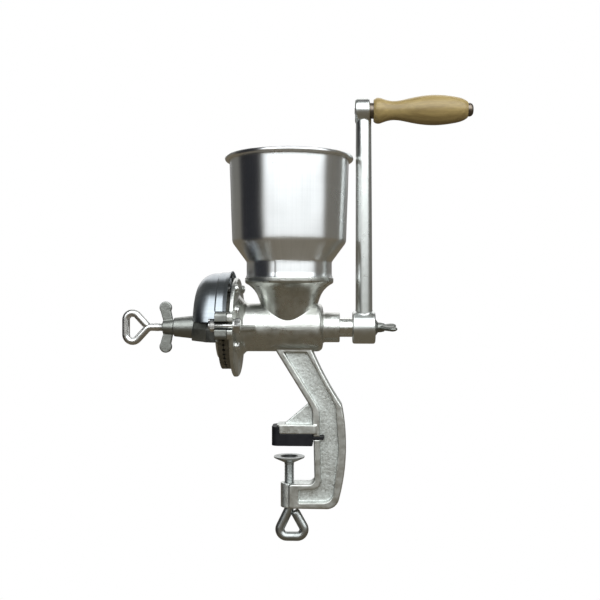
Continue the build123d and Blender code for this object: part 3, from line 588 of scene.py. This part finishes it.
def cast_copy(node, body, material, *settings):
    """A CAD node run over as a casting."""
    source = nodes[node].data.copy()
    shape = bmesh.new()
    shape.from_mesh(source)
    bmesh.ops.remove_doubles(shape, verts=shape.verts, dist=0.002 * MM)
    shape.to_mesh(source)
    shape.free()
    piece(node + "_cast", run_over([source], *settings), body, slots[node], material, node)


def joined(name, meshes):
    """Several meshes as one."""
    shape = bmesh.new()
    for mesh in meshes:
        shape.from_mesh(mesh)
        bpy.data.meshes.remove(mesh)
    made = bpy.data.meshes.new(name)
    shape.to_mesh(made)
    shape.free()
    return made


def sheet_sides(line, thickness):
    """The two faces of a sheet whose middle follows a line in the XZ plane, right-hand side first."""
    sides = []
    for sign in (1, -1):
        side = []
        for i, point in enumerate(line):
            ahead = line[min(i + 1, len(line) - 1)] - line[max(i - 1, 0)]
            square = Vector((ahead.z, 0, -ahead.x)).normalized()
            side.append(point + square * (sign * thickness / 2))
        sides.append(side)
    return sides


def thread(major, pitch, start, end, fade):
    """The radius of a right-handed thread between two distances along a rod, running out at both ends."""
    depth = 0.4 * pitch

    def radius(distance, angle):
        wave = (distance / pitch - angle / tau) % 1
        cut = 0.5 - 0.5 * cos(tau * wave)
        inside = min((distance - start) / fade, (end - distance) / fade)
        return major - depth * cut * min(1, max(0, inside))

    return radius


def swept(name, line, radius, start, end, segments=40):
    """A rod along a line in the XZ plane, radius(distance, angle) thick. Its ends follow lists of
    (distance past the end, radius)."""
    across = Vector((0, 1, 0))
    travel = [0.0]
    for a, b in zip(line, line[1:]):
        travel.append(travel[-1] + (b - a).length)
    first, last = (line[1] - line[0]).normalized(), (line[-1] - line[-2]).normalized()
    places = [(line[0] - first * past, first, lambda angle, r=r: r) for past, r in start]
    for i, point in enumerate(line):
        way = (line[min(i + 1, len(line) - 1)] - line[max(i - 1, 0)]).normalized()
        places.append((point, way, lambda angle, distance=travel[i]: radius(distance, angle)))
    places += [(line[-1] + last * past, last, lambda angle, r=r: r) for past, r in end]
    turns = [tau * j / segments for j in range(segments)]
    rings = []
    for point, way, thick in places:
        side = Vector((way.z, 0, -way.x))
        rings.append([point + (side * cos(turn) + across * sin(turn)) * thick(turn) for turn in turns])
    return skin(name, rings)


def many_sided(count, across_flats, turn=0.0):
    """The shape of a nut or bolt head for turned(): its flats cut a round blank."""
    step = tau / count

    def radius(along, blank, angle):
        off = (angle - turn + step / 2) % step - step / 2
        return min(blank, across_flats / 2 / cos(off))

    return radius


# ---------------------------------------------------------------- castings and the moulded pad
cast_copy("mill_body", "body", finish["tinned_casting"], 9, 12, 0.05 * MM, 0.22, "SHARP")
cast_copy("adjusting_yoke", "body", dull_casting, 8, 6, 0.08 * MM)
cast_copy("crank_arm", "rotor", satin_casting, 9, 14, 0.0)
cast_copy("lock_wing_nut", "lock_wing_nut", dull_casting, 7, 8, 0.06 * MM)
cast_copy("rubber_pad", "body", finish["black_rubber"], 7, 5, 0.0)

# ---------------------------------------------------------------- wing screw on the crank
WING_TURN = radians(96)
WING_STEM = (
    (66.6, 0.4), (66.6, 2.6), (67.2, 2.95),  # the screw's end inside the shaft
    (88.6, 2.95), (88.65, 7.9), (89.0, 8.2),  # the flange on the crank's boss
    (91.0, 5.2), (94.5, 4.9), (97.4, 4.2), (98.6, 2.6), (98.8, 0.4),  # the hub and its round end
)
EAR_ROOT_HALF = 3.4 * MM  # half an ear's width at its root, and how much more at its tip
EAR_SPREAD = 1.8 * MM
EAR_HALF_THICK = 2.6 * MM
EAR_CLOSES = 0.75  # the share of its length where an ear starts to close round its tip
EAR_BEND_R = 12 * MM


def ear_section(span):
    """An ear's section along its length: a flat oval that widens outwards, then closes round its tip."""
    def radius(distance, angle):
        share = distance / span
        closing = min(0.98, max(0, (share - EAR_CLOSES) / (1 - EAR_CLOSES)))
        close = sqrt(1 - closing ** 2)
        wide, thick = (EAR_ROOT_HALF + EAR_SPREAD * share) * close, EAR_HALF_THICK * close
        return wide * thick / sqrt((thick * cos(angle)) ** 2 + (wide * sin(angle)) ** 2)

    return radius


def wing_ear(side):
    """One ear of the wing screw, bent outwards from the hub."""
    bends = [in_mm(93, side * 1.5), in_mm(97.5, side * 4.5), in_mm(109, side * 15.1)]
    spine = resampled(rounded(bends, [EAR_BEND_R], 1 * MM), 0.5 * MM)
    span = sum((b - a).length for a, b in zip(spine, spine[1:]))
    return swept("ear", spine, ear_section(span), [], [])


wing_parts = [turned("stem", "X", ORIGIN, mm_profile(WING_STEM), 48), wing_ear(-1), wing_ear(1)]
for part in wing_parts:
    face_outwards(part)
wing_mesh = run_over(wing_parts, 8, 5, 0.03 * MM)
wing_mesh.transform(Matrix.Translation(SHAFT) @ Matrix.Rotation(WING_TURN, 4, "X"))
piece("crank_wing_screw_cast", wing_mesh, "crank_wing_screw", "tinned_casting", dull_casting,
      "crank_wing_screw")

# ---------------------------------------------------------------- hopper
HOPPER_SHEET = 0.8 * MM
HOPPER_CORNERS = [in_mm(43.4, 171.1), in_mm(43.4, 187.5), in_mm(58.1, 207.5), in_mm(61.0, 291.2)]
HOPPER_BENDS = (4 * MM, 8 * MM)
NECK_LIP = [in_mm(43.1, 171.1), in_mm(44.3, 171.1), in_mm(44.6, 171.5), in_mm(44.5, 172.1)]
UNDER_CURL = in_mm(61.6, 292.0)
CURL = in_mm(63.5, 293.0)
CURL_R = 2.5 * MM
CURL_TURNS = range(-125, 156, 14)  # degrees
SEAM_ANGLE = radians(-104)
SEAM_STEP = 0.35 * MM
SEAM_FADE = 0.6  # radians
NECK_TOP_Z = 187 * MM
NECK_INNER_R = 43.5 * MM
DENT = 0.3 * MM
DENTED_Z = (212 * MM, 286 * MM)
DENT_FADE = 20 * MM

hopper_line = resampled(rounded(HOPPER_CORNERS, HOPPER_BENDS, 1 * MM), 3 * MM)
hopper_out, hopper_in = sheet_sides(hopper_line, HOPPER_SHEET)
curl = [CURL + Vector((cos(turn), 0, sin(turn))) * CURL_R for turn in map(radians, CURL_TURNS)]
hopper_loop = NECK_LIP + hopper_out[1:] + [UNDER_CURL] + curl + list(reversed(hopper_in[1:]))


def hopper_shape(along, radius, angle):
    """The bowl is dented a little, and the neck's sheet is lapped over at its seam."""
    past_seam = (angle - SEAM_ANGLE) % tau
    if along < NECK_TOP_Z and radius > NECK_INNER_R:
        return radius + SEAM_STEP * max(0, 1 - past_seam / SEAM_FADE)
    low, high = DENTED_Z
    share = min(1, max(0, (along - low) / DENT_FADE), max(0, (high - along) / DENT_FADE))
    wave = noise.noise(Vector((cos(angle) * 2.2, sin(angle) * 2.2, along * 22)))
    return radius + DENT * share * wave


hopper_profile = [(point.z, point.x) for point in hopper_loop]
hopper_mesh = turned("hopper_spun", "Z", ORIGIN, hopper_profile, 216, True, hopper_shape)
piece("hopper_spun", hopper_mesh, "hopper", "tinned_sheet", hopper_sheet, "hopper")

# ---------------------------------------------------------------- burr shield
# The shield's cut-out for the yoke's ears closes down to the nuts where the ears don't reach.
SHIELD_R = (54.8 * MM, 55.6 * MM)
INFILL_X = (-75.2 * MM, -69.0 * MM)
INFILL_Z = (130.0 * MM, 137.25 * MM)
INFILL_STEPS = 8


def infill(side):
    """A curved strip of the shield's sheet above one nut."""
    low, high = (asin((z - SHAFT.z) / SHIELD_R[1]) for z in INFILL_Z)
    (back, front), (inner, outer) = INFILL_X, SHIELD_R
    rings = []
    for i in range(INFILL_STEPS + 1):
        angle = low + (high - low) * i / INFILL_STEPS
        out = Vector((0, side * cos(angle), sin(angle)))
        section = ((back, inner), (back, outer), (front, outer), (front, inner))
        rings.append([SHAFT + Vector((x, 0, 0)) + out * radius for x, radius in section])
    return skin("infill", rings)


shield_mesh = joined("burr_shield_fitted", [nodes["burr_shield"].data.copy(), infill(-1), infill(1)])
piece("burr_shield_fitted", shield_mesh, "body", "tinned_sheet", shield_sheet, "burr_shield")

# ---------------------------------------------------------------- nuts and bolts on the flange's ears
YOKE_BOLT = Vector((0, 56.8, 3.2)) * MM  # from the shaft's axis
# places along the shaft and radii, in mm
NUT_X = (-73.1, -68.1)
WASHER_X = (-50.4, -48.8)
BOLT_HEAD_X = (WASHER_X[1], -43.6)
BOLT_END_X = -74.7
BOLT_THREAD_X = (-74.3, -60)
BOLT_R = 3.1
BOLT_PITCH = 1.0
THREAD_STEP = BOLT_PITCH / 8

ears = [SHAFT + Vector((0, side * YOKE_BOLT.y, YOKE_BOLT.z)) for side in (-1, 1)]


def ring_loop(ends, hole_r, face_r, outer_r, bevel):
    """The section of a nut or washer, its outer corners bevelled."""
    back, front = ends
    return mm_profile(((back, hole_r), (back, face_r), (back + bevel, outer_r),
                       (front - bevel, outer_r), (front, face_r), (front, hole_r)))


def bolt_profile():
    """A bolt from its thread's end to its chamfered head, with points close enough for the thread."""
    start, end = BOLT_THREAD_X
    under_head, head_end = BOLT_HEAD_X
    steps = int((end - start) / THREAD_STEP) + 2
    shank = [(start + THREAD_STEP * i, BOLT_R) for i in range(steps)]
    head = [(under_head, BOLT_R), (under_head, 6.9), (under_head + 0.5, 7.3),
            (head_end - 0.8, 7.3), (head_end, 5.4), (head_end, 0.4)]
    return mm_profile([(BOLT_END_X, 0.4), (BOLT_END_X, 2.5)] + shank + head)


bolt_thread = thread(BOLT_R * MM, BOLT_PITCH * MM, -74.2 * MM, BOLT_THREAD_X[1] * MM, 1 * MM)
square_head = many_sided(4, 10.6 * MM, pi / 4)


def bolt_shape(along, radius, angle):
    """The thread on the shank, and four flats on the head."""
    if abs(radius - BOLT_R * MM) < 0.1 * MM:
        return bolt_thread(along, angle)
    return square_head(along, radius, angle)


for name, profile, sides, closed, shape in (
    ("yoke_nuts", ring_loop(NUT_X, 3.2, 4.75, 5.8, 0.6), 72, True, many_sided(6, 10 * MM)),
    ("yoke_washers", ring_loop(WASHER_X, 3.3, 6.55, 6.8, 0.25), 72, True, None),
    ("yoke_bolts", bolt_profile(), 48, False, bolt_shape),
):
    pair = [turned(name, "X", ear, profile, sides, closed, shape) for ear in ears]
    piece(name + "_cut", joined(name, pair), "body", "plated_steel", finish["plated_steel"], name)


# ---------------------------------------------------------------- clamp screw and adjusting screw
def ring_screw(name, corners, bends, screw_r, pitch, threaded, wire_r, tip, tail):
    """A screw whose rod is bent to a ring at its end. corners and bends are the rod's corners and
    their radii, threaded is the stretch that has a thread, tip and tail are the shapes of its ends,
    and all but the corners are in mm."""
    line = rounded(corners, [bend * MM for bend in bends], 0.8 * MM)
    line = resampled(line[:2], pitch * MM / 10) + resampled(line[1:], 1.5 * MM)[1:]
    start, end = threaded
    cut = thread(screw_r * MM, pitch * MM, start * MM, end * MM, 2 * MM)
    ring_from, blend_length = (end + 1) * MM, 4 * MM

    def thick(distance, angle):
        """The thread, then the thinner wire of the ring."""
        share = min(1, max(0, (distance - ring_from) / blend_length))
        return cut(distance, angle) * (1 - share) + wire_r * MM * share

    return swept(name, line, thick, mm_profile(tip), mm_profile(tail))


def cupped(sphere_r, ahead, depths):
    """A tip hollowed by a sphere whose centre stands this far ahead of it, at some depths in mm."""
    return [(-depth, sqrt(sphere_r ** 2 - (ahead + depth) ** 2)) for depth in depths]


clamp_screw = ring_screw(
    "clamp_screw_cut",
    [in_mm(0, -18.7), in_mm(0, -66.5), in_mm(-13.8, -94.9), in_mm(20.1, -94.9), in_mm(6.4, -70.3)],
    bends=(8, 7, 7), screw_r=5.0, pitch=1.5, threaded=(0.5, 38), wire_r=4.8,
    tip=((4.05, 0.4), (4.05, 4.0), (3.65, 4.55), (3.05, 4.55), (3.0, 3.0), (0.25, 3.0), (0.0, 4.2)),
    tail=((0.4, 4.7), (1.4, 4.2), (2.1, 3.2)))
piece("clamp_screw_cut", clamp_screw, "clamp_screw", "plated_steel", darker_steel, "clamp_screw")

axis_z = SHAFT.z / MM
adjusting_screw = ring_screw(
    "adjusting_screw_cut",
    [in_mm(-87.4, axis_z), in_mm(-146.5, axis_z), in_mm(-170.2, axis_z - 25.5),
     in_mm(-170.2, axis_z + 25.5), in_mm(-148.2, axis_z + 1.6)],
    bends=(7, 7, 7), screw_r=4.2, pitch=1.25, threaded=(0.6, 49), wire_r=4.0,
    tip=cupped(4.78, 3.0, (1.76, 1.6, 1.2, 0.7, 0.3, 0)) + [(0, 3.9)],
    tail=((0.4, 3.9), (1.2, 3.4), (1.8, 2.4)))
piece("adjusting_screw_cut", adjusting_screw, "adjusting_screw", "plated_steel", finish["plated_steel"],
      "adjusting_screw")

# ---------------------------------------------------------------- what stays as the CAD has it
# the clamp pad's darker steel is partly painted shade for its hollow cup
own_finish = {"clamp_pad": darker_steel, "hopper": hopper_sheet, "burr_shield": shield_sheet}
for node, obj in nodes.items():
    material = own_finish[node] if node in own_finish else finish[slots[node]]
    obj.data.materials.clear()
    obj.data.materials.append(material)

add_camera()
add_backdrop()
add_studio_light()
bpy.context.scene.view_settings.view_transform = "Standard"
